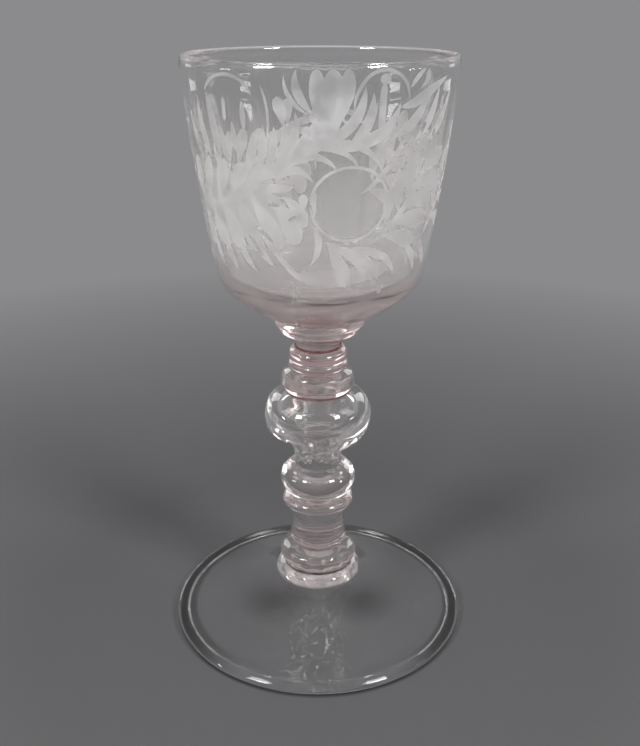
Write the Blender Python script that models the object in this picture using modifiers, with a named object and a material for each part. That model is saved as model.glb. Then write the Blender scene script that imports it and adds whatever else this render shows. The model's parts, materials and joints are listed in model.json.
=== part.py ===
"""Stemmed wine goblet in clear glass, in metres, standing on z = 0 with its axis on Z.

A round-funnel bowl sits on a composite baluster stem of knops, rings and collars, which stands
on a conical foot with a folded rim. Every piece is a separate gather of glass, turned about Z.
Each piece is stacked on the one below it, so that a changed height lifts all that stands above.
"""
import math

import bpy

# Joint between two gathers that are pressed together
JOINT_GAP = 0.0003

# Foot: conical sheet with its edge folded under into a thick rim
FOOT_RADIUS = 0.0504
FOOT_HEIGHT = 0.0142
FOOT_SEAT_RADIUS = 0.0122
FOOT_RIM_WIDTH = 0.0044
FOOT_RIM_HEIGHT = 0.0034
FOOT_REST_WIDTH = 0.0022
FOOT_SHEET_THICKNESS = 0.0022
FOOT_CENTRE_THICKNESS = 0.0042
FOOT_KICK_RADIUS = 0.0062

# Collars, rings and knops of the stem, from the foot upwards
FOOT_MERESE_HEIGHT = 0.0051
FOOT_MERESE_RADIUS = 0.0147
FOOT_MERESE_SEAT_RADIUS = 0.0115

BASE_KNOP_HEIGHT = 0.0070
BASE_KNOP_RADIUS = 0.0132
BASE_KNOP_SEAT_RADIUS = 0.0087

NECK_COLLAR_HEIGHT = 0.0048
NECK_COLLAR_LOWER_RADIUS = 0.0098
NECK_COLLAR_UPPER_RADIUS = 0.0094
NECK_COLLAR_GROOVE_RADIUS = 0.0087

LOWER_NECK_HEIGHT = 0.0092
LOWER_NECK_WAIST_RADIUS = 0.0086
LOWER_NECK_END_RADIUS = 0.0091

BALL_MERESE_HEIGHT = 0.0049
BALL_MERESE_RADIUS = 0.0121
BALL_MERESE_SEAT_RADIUS = 0.0086

BALL_KNOP_HEIGHT = 0.0106
BALL_KNOP_RADIUS = 0.0127

HOLLOW_KNOP_HEIGHT = 0.0266
HOLLOW_KNOP_RADIUS = 0.0178
HOLLOW_KNOP_NECK_RADIUS = 0.0077
HOLLOW_KNOP_NECK_HEIGHT = 0.0060
HOLLOW_KNOP_SEAT_RADIUS = 0.0104
HOLLOW_KNOP_WALL = 0.0027
HOLLOW_KNOP_MOUTH_RADIUS = 0.0045
HOLLOW_KNOP_SHOULDER_HEIGHT = 0.0086

SHOULDER_COLLAR_HEIGHT = 0.0078
SHOULDER_COLLAR_LOWER_RADIUS = 0.01215
SHOULDER_COLLAR_UPPER_RADIUS = 0.0116
SHOULDER_COLLAR_SEAT_RADIUS = 0.0089
SHOULDER_COLLAR_TOP_SLOPE = 0.0013
SHOULDER_COLLAR_UNDERCUT = 0.0022
SHOULDER_COLLAR_ROUNDING = 0.0020

NECK_RING_HEIGHT = 0.0069
NECK_RING_UPPER_RADIUS = 0.0095
NECK_RING_LOWER_RADIUS = 0.0097
NECK_RING_GROOVE_RADIUS = 0.0087
NECK_RING_SEAT_RADIUS = 0.0072

BOWL_COLLAR_HEIGHT = 0.0098
BOWL_COLLAR_NECK_HEIGHT = 0.0050
BOWL_COLLAR_STEP_RADIUS = 0.0129
BOWL_COLLAR_SEAT_RADIUS = 0.0145
BOWL_COLLAR_ROUNDING = 0.0009

# Bowl: straight flaring side on a conical base, with a rounded corner between them
BOWL_HEIGHT = 0.0798
BOWL_RIM_RADIUS = 0.0407
BOWL_CORNER_RADIUS = 0.0320
BOWL_CORNER_HEIGHT = 0.0114
BOWL_SIDE_BOW = 0.0009
BOWL_OUTER_ROUNDING = 0.0145
BOWL_INNER_ROUNDING = 0.0125
BOWL_LIP_THICKNESS = 0.0017
BOWL_WALL_THICKNESS = 0.0026
BOWL_FLOOR_THICKNESS = 0.0050
BOWL_FLOOR_RISE = 0.0072

# Fineness of the turned surfaces
WIDE_STEPS = 48
STEM_STEPS = 32
ARC_STEP_ANGLE = math.radians(18.0)
BULGE_POINTS = 4
CURVE_POINTS = 6
SHARP_EDGE_ANGLE = math.radians(40.0)
MERGE_DISTANCE = 0.00001

# Where along a knop or collar its widest ring lies, and a double ring's groove, as a share of the height
MIDDLE = 0.5
NECK_RING_GROOVE_SHARE = 0.34
BALL_WIDEST_SHARE = 0.52
BASE_WIDEST_SHARE = 0.55
MERESE_WIDEST_SHARE = 0.28

# How fully a baluster's body swells before it runs into its neck
BALUSTER_POWER = 2.4

# How steeply the foot's cone flattens towards its rim
FOOT_CONE_POWER = 1.55
FOOT_CREASE_ANGLE = math.radians(135.0)
FOOT_UNDERCUT_ANGLE = math.radians(-45.0)

CLEAR_GLASS = (0.93, 0.92, 0.91)
PINK_GLASS = (0.90, 0.80, 0.80)
GLASS_ROUGHNESS = 0.03


def ellipse_arc(centre, half_width, half_height, start, end):
    """Points of an elliptical arc in the (radius, height) plane, both ends included."""
    count = max(2, math.ceil(abs(end - start) / ARC_STEP_ANGLE))
    points = []
    for index in range(count + 1):
        angle = start + (end - start) * index / count
        radius = centre[0] + half_width * math.cos(angle)
        height = centre[1] + half_height * math.sin(angle)
        points.append((radius, height))
    return points


def filleted(before, corner, after, rounding):
    """Points of a circular fillet that replaces a corner between two straight runs."""
    first_run = math.dist(before, corner)
    second_run = math.dist(corner, after)
    to_before = ((before[0] - corner[0]) / first_run, (before[1] - corner[1]) / first_run)
    to_after = ((after[0] - corner[0]) / second_run, (after[1] - corner[1]) / second_run)
    cosine = to_before[0] * to_after[0] + to_before[1] * to_after[1]
    half_angle = math.acos(max(-1.0, min(1.0, cosine))) / 2.0
    reach = min(rounding / math.tan(half_angle), MIDDLE * first_run, MIDDLE * second_run)
    count = max(2, math.ceil((math.pi - 2.0 * half_angle) / ARC_STEP_ANGLE))
    start = (corner[0] + to_before[0] * reach, corner[1] + to_before[1] * reach)
    end = (corner[0] + to_after[0] * reach, corner[1] + to_after[1] * reach)
    radius = reach * math.tan(half_angle)
    to_centre = radius / math.sin(half_angle)
    bisector = (to_before[0] + to_after[0], to_before[1] + to_after[1])
    bisector_length = math.hypot(*bisector)
    centre = (
        corner[0] + bisector[0] / bisector_length * to_centre,
        corner[1] + bisector[1] / bisector_length * to_centre,
    )
    start_angle = math.atan2(start[1] - centre[1], start[0] - centre[0])
    end_angle = math.atan2(end[1] - centre[1], end[0] - centre[0])
    turn = (end_angle - start_angle + math.pi) % (2.0 * math.pi) - math.pi
    points = []
    for index in range(count + 1):
        angle = start_angle + turn * index / count
        points.append((centre[0] + radius * math.cos(angle), centre[1] + radius * math.sin(angle)))
    return points


def quarter_round(start, end):
    """Quarter ellipse that leaves the start flat and reaches the end upright, the end left out."""
    points = []
    for index in range(BULGE_POINTS):
        angle = 0.5 * math.pi * index / BULGE_POINTS
        radius = start[0] + (end[0] - start[0]) * math.sin(angle)
        points.append((radius, end[1] + (start[1] - end[1]) * math.cos(angle)))
    return points


def bulge(top_radius, widest_radius, bottom_radius, top, bottom, widest_share):
    """Outer side of a knop or ring, top to bottom: a quarter ellipse above and one below."""
    widest = (widest_radius, bottom + (top - bottom) * widest_share)
    upper = quarter_round((top_radius, top), widest)
    lower = quarter_round((bottom_radius, bottom), widest)
    return upper + [widest] + lower[::-1]


def inverted_baluster(top_radius, widest_radius, bottom_radius, top, widest_height, bottom):
    """Outer side of a baluster, top to bottom: a round shoulder, then a taper that quickens downwards."""
    widest = (widest_radius, widest_height)
    points = quarter_round((top_radius, top), widest) + [widest]
    for index in range(1, CURVE_POINTS + 1):
        share = index / CURVE_POINTS
        radius = bottom_radius + (widest_radius - bottom_radius) * (1.0 - share ** BALUSTER_POWER)
        points.append((radius, widest_height + (bottom - widest_height) * share))
    return points


def closed_on_axis(side):
    """A side outline joined to the axis at both ends, which makes a solid piece."""
    return [(0.0, side[0][1])] + side + [(0.0, side[-1][1])]


def glass_material(name, colour):
    """Glass of one piece."""
    material = bpy.data.materials.new(name + "_glass")
    material.use_nodes = True
    shader = material.node_tree.nodes["Principled BSDF"]
    shader.inputs["Base Color"].default_value = (*colour, 1.0)
    shader.inputs["Roughness"].default_value = GLASS_ROUGHNESS
    shader.inputs["Metallic"].default_value = 0.0
    shader.inputs["Transmission Weight"].default_value = 1.0
    return material


def turned_piece(collection, name, outline, steps, colour):
    """A piece turned about Z from an outline that runs down its outer side."""
    profile = bpy.data.meshes.new(name + "_profile")
    edges = [(index, index + 1) for index in range(len(outline) - 1)]
    profile.from_pydata([(radius, 0.0, height) for radius, height in outline], edges, [])
    piece = bpy.data.objects.new(name, profile)
    collection.objects.link(piece)

    screw = piece.modifiers.new("Turning", "SCREW")
    screw.axis = "Z"
    screw.angle = 2.0 * math.pi
    screw.steps = steps
    screw.render_steps = steps
    screw.use_merge_vertices = True
    screw.merge_threshold = MERGE_DISTANCE

    graph = bpy.context.evaluated_depsgraph_get()
    solid = bpy.data.meshes.new_from_object(piece.evaluated_get(graph))
    piece.modifiers.clear()
    piece.data = solid
    bpy.data.meshes.remove(profile)
    solid.name = name
    solid.shade_smooth()
    solid.set_sharp_from_angle(angle=SHARP_EDGE_ANGLE)
    solid.materials.clear()
    solid.materials.append(glass_material(name, colour))
    return piece


def foot_outline():
    """Foot: cone above, folded rim with a flat rest ring, and the hollow kick below."""
    rim_centre = (FOOT_RADIUS - 0.5 * FOOT_RIM_WIDTH, 0.5 * FOOT_RIM_HEIGHT)
    rim = ellipse_arc(
        rim_centre, 0.5 * FOOT_RIM_WIDTH, 0.5 * FOOT_RIM_HEIGHT, FOOT_CREASE_ANGLE, FOOT_UNDERCUT_ANGLE
    )
    crease = rim[0]
    cone = []
    for index in range(CURVE_POINTS):
        share = index / CURVE_POINTS
        rise = (1.0 - share) ** FOOT_CONE_POWER
        radius = FOOT_SEAT_RADIUS + (crease[0] - FOOT_SEAT_RADIUS) * share
        cone.append((radius, crease[1] + (FOOT_HEIGHT - crease[1]) * rise))

    rest = [
        (rim_centre[0] + 0.5 * FOOT_REST_WIDTH, 0.0),
        (rim_centre[0] - 0.5 * FOOT_REST_WIDTH, 0.0),
    ]
    kick_height = FOOT_HEIGHT - FOOT_CENTRE_THICKNESS
    fold_height = crease[1] - FOOT_SHEET_THICKNESS
    underside = []
    for index in range(CURVE_POINTS + 1):
        share = 1.0 - index / CURVE_POINTS
        rise = (1.0 - share) ** FOOT_CONE_POWER
        radius = FOOT_KICK_RADIUS + (crease[0] - FOOT_KICK_RADIUS) * share
        underside.append((radius, fold_height + (kick_height - fold_height) * rise))
    return closed_on_axis(cone + rim + rest + underside)


def double_ring(
    top_radius, upper_radius, groove_radius, lower_radius, bottom_radius, top, bottom, groove_share
):
    """Outer side of a double collar, top to bottom: two rings with a groove between them."""
    groove = bottom + groove_share * (top - bottom)
    upper = bulge(top_radius, upper_radius, groove_radius, top, groove, MIDDLE)
    lower = bulge(groove_radius, lower_radius, bottom_radius, groove, bottom, MIDDLE)
    return upper + lower[1:]


def lower_neck_side(top, bottom):
    """Plain neck, drawn in a little at its waist."""
    points = []
    for index in range(CURVE_POINTS + 1):
        share = index / CURVE_POINTS
        flare = (2.0 * share - 1.0) ** 2
        radius = LOWER_NECK_WAIST_RADIUS + (LOWER_NECK_END_RADIUS - LOWER_NECK_WAIST_RADIUS) * flare
        points.append((radius, top + (bottom - top) * share))
    return points


def hollow_knop_outline(top, bottom):
    """Blown knop: an inverted baluster on a drawn neck, round a bubble that is open at its mouth."""
    body_bottom = bottom + HOLLOW_KNOP_NECK_HEIGHT
    widest_height = top - HOLLOW_KNOP_SHOULDER_HEIGHT
    outer = inverted_baluster(
        HOLLOW_KNOP_SEAT_RADIUS,
        HOLLOW_KNOP_RADIUS,
        HOLLOW_KNOP_NECK_RADIUS,
        top,
        widest_height,
        body_bottom,
    )
    bubble = inverted_baluster(
        HOLLOW_KNOP_MOUTH_RADIUS,
        HOLLOW_KNOP_RADIUS - HOLLOW_KNOP_WALL,
        0.0,
        top - HOLLOW_KNOP_WALL,
        widest_height,
        body_bottom + HOLLOW_KNOP_WALL,
    )
    mouth = (HOLLOW_KNOP_MOUTH_RADIUS, top)
    neck = [(HOLLOW_KNOP_NECK_RADIUS, bottom), (0.0, bottom)]
    return bubble[::-1] + [mouth] + outer + neck


def shoulder_collar_side(top, bottom):
    """Tapered collar with a sloping top, undercut to its seat on the knop below."""
    seat = (SHOULDER_COLLAR_SEAT_RADIUS, top)
    upper = (SHOULDER_COLLAR_UPPER_RADIUS, top - SHOULDER_COLLAR_TOP_SLOPE)
    lower = (SHOULDER_COLLAR_LOWER_RADIUS, bottom + SHOULDER_COLLAR_UNDERCUT)
    base = (HOLLOW_KNOP_SEAT_RADIUS, bottom)
    upper_round = filleted(seat, upper, lower, SHOULDER_COLLAR_ROUNDING)
    lower_round = filleted(upper, lower, base, SHOULDER_COLLAR_ROUNDING)
    return [seat] + upper_round + lower_round + [base]


def bowl_collar_side(top, bottom):
    """Stepped collar under the bowl: two rounded steps on a neck."""
    neck_radius = NECK_RING_SEAT_RADIUS
    neck_top = bottom + BOWL_COLLAR_NECK_HEIGHT
    radii = (BOWL_COLLAR_SEAT_RADIUS, BOWL_COLLAR_STEP_RADIUS, neck_radius)
    treads = len(radii) - 1
    step_height = (top - neck_top) / treads
    side = [(radii[0], top)]
    for index in range(treads):
        tread = top - step_height * (index + 1)
        before = (radii[index], tread + step_height)
        corner = (radii[index], tread)
        after = (radii[index + 1], tread)
        side += filleted(before, corner, after, BOWL_COLLAR_ROUNDING)
        side.append(after)
    side.append((neck_radius, bottom))
    return side


def bowed_side(start, end):
    """Points between the ends of the bowl's side, which bows out a little from the straight line."""
    points = []
    for index in range(1, CURVE_POINTS):
        share = index / CURVE_POINTS
        bow = BOWL_SIDE_BOW * 4.0 * share * (1.0 - share)
        radius = start[0] + (end[0] - start[0]) * share + bow
        points.append((radius, start[1] + (end[1] - start[1]) * share))
    return points


def bowl_outline(top, bottom):
    """Bowl: inner floor and side, rounded lip, outer side, rounded corner and conical base."""
    floor_centre = (0.0, bottom + BOWL_FLOOR_THICKNESS)
    inner_corner = (BOWL_CORNER_RADIUS - BOWL_WALL_THICKNESS, floor_centre[1] + BOWL_FLOOR_RISE)
    lip_radius = 0.5 * BOWL_LIP_THICKNESS
    lip_centre = (BOWL_RIM_RADIUS - lip_radius, top - lip_radius)
    lip_inner = (lip_centre[0] - lip_radius, lip_centre[1])
    lip_outer = (BOWL_RIM_RADIUS, lip_centre[1])
    outer_corner = (BOWL_CORNER_RADIUS, bottom + BOWL_CORNER_HEIGHT)
    seat = (BOWL_COLLAR_SEAT_RADIUS, bottom)

    lip = ellipse_arc(lip_centre, lip_radius, lip_radius, math.pi, 0.0)
    outer_base = filleted(lip_outer, outer_corner, seat, BOWL_OUTER_ROUNDING)
    inner_base = filleted(floor_centre, inner_corner, lip_inner, BOWL_INNER_ROUNDING)
    inner = [floor_centre] + inner_base + bowed_side(inner_base[-1], lip_inner)
    outer = bowed_side(lip_outer, outer_base[0]) + outer_base
    return inner + lip + outer + [seat, (0.0, bottom)]


def build():
    """Stack the pieces from the foot to the rim."""
    for existing in list(bpy.data.objects):
        bpy.data.objects.remove(existing, do_unlink=True)
    collection = bpy.data.collections.new("goblet")
    bpy.context.scene.collection.children.link(collection)

    turned_piece(collection, "foot", foot_outline(), WIDE_STEPS, CLEAR_GLASS)

    bottom = FOOT_HEIGHT + JOINT_GAP
    top = bottom + FOOT_MERESE_HEIGHT
    side = bulge(
        FOOT_MERESE_SEAT_RADIUS, FOOT_MERESE_RADIUS, FOOT_SEAT_RADIUS, top, bottom, MERESE_WIDEST_SHARE
    )
    turned_piece(collection, "foot_merese", closed_on_axis(side), STEM_STEPS, PINK_GLASS)

    bottom = top + JOINT_GAP
    top = bottom + BASE_KNOP_HEIGHT
    side = bulge(
        BASE_KNOP_SEAT_RADIUS, BASE_KNOP_RADIUS, FOOT_MERESE_SEAT_RADIUS, top, bottom, BASE_WIDEST_SHARE
    )
    turned_piece(collection, "base_knop", closed_on_axis(side), STEM_STEPS, PINK_GLASS)

    bottom = top + JOINT_GAP
    top = bottom + NECK_COLLAR_HEIGHT
    side = double_ring(
        LOWER_NECK_END_RADIUS,
        NECK_COLLAR_UPPER_RADIUS,
        NECK_COLLAR_GROOVE_RADIUS,
        NECK_COLLAR_LOWER_RADIUS,
        BASE_KNOP_SEAT_RADIUS,
        top,
        bottom,
        MIDDLE,
    )
    turned_piece(collection, "neck_collar", closed_on_axis(side), STEM_STEPS, PINK_GLASS)

    bottom = top + JOINT_GAP
    top = bottom + LOWER_NECK_HEIGHT
    side = lower_neck_side(top, bottom)
    turned_piece(collection, "lower_neck", closed_on_axis(side), STEM_STEPS, CLEAR_GLASS)

    bottom = top + JOINT_GAP
    top = bottom + BALL_MERESE_HEIGHT
    side = bulge(
        BALL_MERESE_SEAT_RADIUS, BALL_MERESE_RADIUS, LOWER_NECK_END_RADIUS, top, bottom, MIDDLE
    )
    turned_piece(collection, "ball_merese", closed_on_axis(side), STEM_STEPS, PINK_GLASS)

    bottom = top + JOINT_GAP
    top = bottom + BALL_KNOP_HEIGHT
    side = bulge(
        HOLLOW_KNOP_NECK_RADIUS, BALL_KNOP_RADIUS, BALL_MERESE_SEAT_RADIUS, top, bottom, BALL_WIDEST_SHARE
    )
    turned_piece(collection, "ball_knop", closed_on_axis(side), STEM_STEPS, CLEAR_GLASS)

    bottom = top + JOINT_GAP
    top = bottom + HOLLOW_KNOP_HEIGHT
    turned_piece(collection, "hollow_knop", hollow_knop_outline(top, bottom), STEM_STEPS, CLEAR_GLASS)

    bottom = top + JOINT_GAP
    top = bottom + SHOULDER_COLLAR_HEIGHT
    side = shoulder_collar_side(top, bottom)
    turned_piece(collection, "shoulder_collar", closed_on_axis(side), STEM_STEPS, PINK_GLASS)

    bottom = top + JOINT_GAP
    top = bottom + NECK_RING_HEIGHT
    side = double_ring(
        NECK_RING_SEAT_RADIUS,
        NECK_RING_UPPER_RADIUS,
        NECK_RING_GROOVE_RADIUS,
        NECK_RING_LOWER_RADIUS,
        SHOULDER_COLLAR_SEAT_RADIUS,
        top,
        bottom,
        NECK_RING_GROOVE_SHARE,
    )
    turned_piece(collection, "neck_ring", closed_on_axis(side), STEM_STEPS, PINK_GLASS)

    bottom = top + JOINT_GAP
    top = bottom + BOWL_COLLAR_HEIGHT
    side = bowl_collar_side(top, bottom)
    turned_piece(collection, "bowl_collar", closed_on_axis(side), STEM_STEPS, PINK_GLASS)

    bottom = top + JOINT_GAP
    top = bottom + BOWL_HEIGHT
    turned_piece(collection, "bowl", bowl_outline(top, bottom), WIDE_STEPS, CLEAR_GLASS)


build()
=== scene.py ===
"""Looks of the stemmed wine goblet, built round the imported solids, in metres.

Every solid is replaced by a finer turned glass of the same outline. The bowl's wall is cut with foliage,
the blown knop holds its bubble, and the joints between the gathers pass light as fused glass does.
"""

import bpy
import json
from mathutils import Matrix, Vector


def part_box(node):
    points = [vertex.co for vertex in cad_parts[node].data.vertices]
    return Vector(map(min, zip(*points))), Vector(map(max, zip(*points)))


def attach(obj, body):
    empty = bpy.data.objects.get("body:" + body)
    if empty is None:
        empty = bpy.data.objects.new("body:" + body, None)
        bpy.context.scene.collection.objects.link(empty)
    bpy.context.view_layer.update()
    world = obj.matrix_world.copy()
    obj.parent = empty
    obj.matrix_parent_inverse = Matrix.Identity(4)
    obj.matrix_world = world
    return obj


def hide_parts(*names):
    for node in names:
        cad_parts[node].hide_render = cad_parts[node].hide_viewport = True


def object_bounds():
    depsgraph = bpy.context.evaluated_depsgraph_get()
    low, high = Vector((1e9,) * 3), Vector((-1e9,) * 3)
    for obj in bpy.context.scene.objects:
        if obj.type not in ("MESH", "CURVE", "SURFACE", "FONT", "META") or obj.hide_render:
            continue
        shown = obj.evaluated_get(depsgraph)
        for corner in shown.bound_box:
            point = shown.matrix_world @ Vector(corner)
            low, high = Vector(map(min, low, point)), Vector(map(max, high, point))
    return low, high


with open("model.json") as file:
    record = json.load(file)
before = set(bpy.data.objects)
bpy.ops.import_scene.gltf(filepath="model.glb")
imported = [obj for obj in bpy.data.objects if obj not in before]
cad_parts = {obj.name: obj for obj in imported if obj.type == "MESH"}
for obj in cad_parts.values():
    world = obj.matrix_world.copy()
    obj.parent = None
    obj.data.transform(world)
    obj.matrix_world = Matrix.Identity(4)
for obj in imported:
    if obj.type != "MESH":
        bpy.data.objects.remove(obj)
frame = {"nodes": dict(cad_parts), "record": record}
cad_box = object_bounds()

import copy
import json
import math

import bmesh
import bpy
import numpy as np
from mathutils import Vector, noise
from mathutils.geometry import delaunay_2d_cdt
from mathutils.kdtree import KDTree

MM = 0.001
NEAR = 0.000002

# Picture and camera
IMAGE_HEIGHT = 746
FOCAL_PIXELS = 938.8
SENSOR = 36
CAMERA_DISTANCE = 0.2865
CAMERA_HEIGHT = 0.2063
CAMERA_PITCH = math.radians(22.11)

# Fineness of the turned glass
DENSE_SPACING = 0.04 * MM
SOFTENING = 0.28 * MM
SOFTENING_SPAN = 3
CORNER_TURN = math.radians(48)
LONGEST_STEP = 0.9 * MM
LARGEST_TURN = math.radians(7)
STEM_STEPS = 128
WIDE_STEPS = 216
SHARP_EDGE = math.radians(32)
JOINT_HAIR = 0.02 * MM

# Marks of hand work: foot and stem a little to the left of the bowl's axis, uneven skin, lumps, ribs in the
# drawn neck, and the blown knop pinched in under its left side
STEM_OFFSET = -0.7 * MM
STEM_TOP = (98 * MM, 112 * MM)
UNEVEN_DEPTH = 0.06 * MM
UNEVEN_WAVES = 210
LUMPY_DEPTHS = {"base_knop": 0.2 * MM, "foot_merese": 0.22 * MM, "shoulder_collar": 0.16 * MM}
LUMPY_WAVES = 400
RIB_DEPTH = 1.1 * MM
RIB_WAVES = 6.5
RIB_RISE = 20
RIB_FADE = (65 * MM, 74 * MM)
PINCH_REACH = 8.9 * MM
PINCH_HEIGHTS = (70 * MM, 71 * MM)
PINCH_STEP = 0.35 * MM
PINCH_TURN = (0.1, 0.8)

# Bubble in the blown knop, and the seeds of air in the glass: node, radius, then degrees, reach and height
BUBBLE_DOME = 1.3 * MM
DOME_STEPS = 6
BUBBLE_REACH = 0.8
BUBBLE_HEIGHT = 0.86
SEEDS = (
    ("base_knop", 0.75, 6, 10.2, 23.4),
    ("base_knop", 0.3, -18, 10.8, 24.6),
    ("base_knop", 0.26, 22, 11.2, 24.9),
    ("base_knop", 0.22, 40, 10.8, 22.8),
    ("foot_merese", 0.24, -8, 12.4, 16.8),
    ("foot_merese", 0.2, 14, 12.8, 16.2),
    ("ball_merese", 0.22, 30, 10, 44.2),
    ("shoulder_collar", 0.26, -30, 9.6, 88.4),
    ("shoulder_collar", 0.2, 36, 9.8, 87.6),
    ("shoulder_collar", 0.18, 12, 10.4, 87.2),
    ("bowl_collar", 0.24, -24, 9, 106.2),
    ("bowl_collar", 0.2, 28, 9.2, 105.6),
    ("foot", 0.22, -12, 22, 9.4),
    ("foot", 0.18, 9, 26, 7.6),
    ("foot", 0.16, -4, 31, 5.4),
)
SEED_STRETCH = 1.3

# Dark lines where a gather was set on the next, painted shade in the groove under it, the red ones also the
# joint's own red: upper node, line's half thickness, strength and colour
RED_JOINT_SHADE = (0.13, 0.026, 0.024, 1)
GROOVE_SHADE = (0.03, 0.018, 0.016, 1)
SHADED_SEAMS = (
    ("bowl_collar", 0.42, 0.97, RED_JOINT_SHADE),
    ("shoulder_collar", 0.42, 0.8, RED_JOINT_SHADE),
    ("neck_collar", 0.22, 0.6, RED_JOINT_SHADE),
    ("base_knop", 0.58, 0.95, GROOVE_SHADE),
)
SEAM_SIDES = 8
SEAM_OUT = 0.3
SEAM_UNEVEN = 0.45
SEAM_ROUGHNESS = 0.45

# Engraved band of the bowl, its heights above the table in metres and the rest on the unrolled wall in mm
BAND_TOP = 188.95 * MM
BAND_BOTTOM = 121 * MM
BAND_ROW = 1.5 * MM
BAND_START = -90
UNROLL_RADIUS = 37
SPINE_SPACING = 0.7
LEAST_SPACING = 0.22
WELD = 0.02
EVEN_REACH = 0.08
EVEN_ROUNDS = 4

# Cuts of the wheel: depth at the usual half width, shape and tone
CUT_DEPTH = 0.12
USUAL_HALF = 1.5
FULL_CUT = 1.1
CUT_POWER = 1.8
SPINED_HALF = 0.45
LEAST_HALF = 0.01
BLADE_LEAN = 0.85
BLADE_FULLNESS = 0.8
PETAL_WIDEST = 0.62
PETAL_FULLNESS = 0.75
LINE_TAPER = 6
MIST_TAPER = 4
SPINE_TONE = 0.72
TIP_TONE = 0.5
TIP_FADE = 3.5
MIST_SHAPES = ("mist", "veil")
LEAF_SHAPES = ("blade", "petal", "leaf", "faint")
TONES = {"blade": 0.82, "petal": 0.90, "line": 0.66, "dot": 0.75, "faint": 0.52, "mist": 0.36,
         "veil": 0.20, "leaf": 0.50, "clear": 0.0}

# Engraved strokes: shape, half width, then the points of the spine as degrees from the front and mm above
# the table
MISTS = (
    ("mist", 10, (-76, 150), (-48, 151), (-26, 151), (-6, 152)),
    ("mist", 7, (-64, 152), (-45, 155), (-28, 154), (-13, 155)),
    ("mist", 6, (-66, 143), (-42, 144), (-26, 143), (-8, 146)),
    ("mist", 5, (-62, 158.5), (-40, 158.5), (-27, 160), (-10, 165)),
    ("veil", 9, (28, 152), (42, 155), (56, 155), (80, 155)),
    ("veil", 6, (22, 142), (36, 146), (50, 146), (70, 147)),
    ("veil", 5.5, (18, 168), (32, 167), (46, 166), (66, 168)),
    ("mist", 4, (-20, 134), (2, 132), (22, 133), (44, 136)),
)
PLUME = (
    ("petal", 2.1, (0.8, 171), (-0.4, 180), (-1.4, 188.5)),
    ("petal", 2.7, (2, 170), (4, 179), (4.8, 188.5)),
    ("petal", 2, (3.5, 171.5), (8.4, 179), (10.4, 188.5)),
    ("petal", 1.6, (3, 174.6), (-1, 176.2), (-4.1, 177.2)),
    ("petal", 1.5, (0.5, 170), (-4, 172.4), (-7, 173.8)),
    ("blade", 3.2, (-13, 166), (-4, 169.6), (3, 175), (6.5, 185)),
)
LEFT_BLADES = (
    ("blade", 1.1, (-3.2, 177.6), (-6.8, 180.6), (-9, 184.5), (-8.6, 188.3)),
    ("blade", 0.6, (-5, 177.4), (-9.8, 180), (-12.6, 183.5), (-13, 187)),
    ("petal", 1.6, (-13.6, 174), (-15, 178), (-16.2, 181.6)),
    ("petal", 1.3, (-12.4, 174.6), (-12.2, 178.5), (-12.6, 181.2)),
    ("blade", 1.2, (-15, 165), (-10.6, 170), (-9.2, 177.8)),
    ("blade", 1.1, (-18, 164), (-14.4, 168.5), (-13.4, 174.4)),
    ("blade", 1.3, (-22, 162.6), (-18.7, 168), (-17.8, 174)),
    ("blade", 1.2, (-26, 162), (-23, 168), (-22.4, 174.2)),
    ("blade", 1.4, (-31, 161.5), (-28, 167), (-26.2, 172.2)),
    ("line", 0.35, (-22.2, 184.2), (-20.5, 180), (-20, 175), (-20.8, 171)),
)
LEFT_ARCH = (
    ("line", 0.45, (-50, 182), (-44, 185.6), (-36, 186.5), (-30, 185), (-26.3, 181.6)),
    ("line", 0.55, (-40, 174.5), (-39.7, 181)),
    ("faint", 0.8, (-30.6, 172.5), (-31, 180.2)),
    ("faint", 1, (-35.6, 166.5), (-36.2, 174.6)),
    ("faint", 1.3, (-40, 163), (-42, 169), (-43.5, 174)),
    ("faint", 1.5, (-45, 164), (-47, 172), (-49.5, 182)),
    ("faint", 1.4, (-51, 164), (-55, 171), (-57, 179)),
    ("faint", 1.4, (-58, 163), (-62.5, 169), (-66, 176.5)),
)
SWEEPING_BLADES = (
    ("blade", 1.3, (-26, 160.6), (-11, 165.2), (-2, 166.4), (7.2, 162.4)),
    ("blade", 1.35, (-29, 158), (-15, 162.2), (-8.5, 162.4), (-2.6, 159.4)),
    ("blade", 0.9, (-9, 167.2), (3, 168.6), (11, 166.6), (15.8, 163)),
    ("blade", 1, (1, 169.6), (11, 169.6), (19, 167.4), (25.6, 162.6)),
)
RIGHT_BLADES = (
    ("blade", 1.5, (0.5, 169.6), (9, 172.5), (14.5, 177), (16.6, 184.2)),
    ("blade", 1.2, (12, 170), (17.5, 174), (20, 182.6)),
    ("blade", 0.8, (17, 170.6), (19.6, 175), (22, 180.4)),
    ("line", 0.95, (24, 171.6), (24.1, 185)),
    ("dot", 1.4, (24.4, 184.2), (24.4, 187.2)),
    ("blade", 1.8, (5, 168.4), (18, 170), (26.5, 173), (31.8, 179.6)),
    ("line", 0.45, (12.8, 178), (14.6, 183.5), (19, 187), (25, 188), (31, 186.3), (35.8, 180.4)),
    ("blade", 1.5, (32, 178.4), (38, 179.2), (46, 181.8), (57.5, 185.4)),
    ("blade", 1.6, (28, 169.6), (37, 173.2), (42.5, 177), (46.4, 182.4)),
    ("blade", 0.7, (36, 183.2), (38.5, 185.6), (43.2, 188)),
    ("petal", 0.9, (40, 182.6), (43.6, 184.4), (44.6, 187.8)),
    ("blade", 1.4, (41, 169.5), (47, 173), (51, 178), (52.5, 183)),
    ("blade", 1.4, (48, 169), (55, 172), (60, 177), (63, 182.5)),
)
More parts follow.
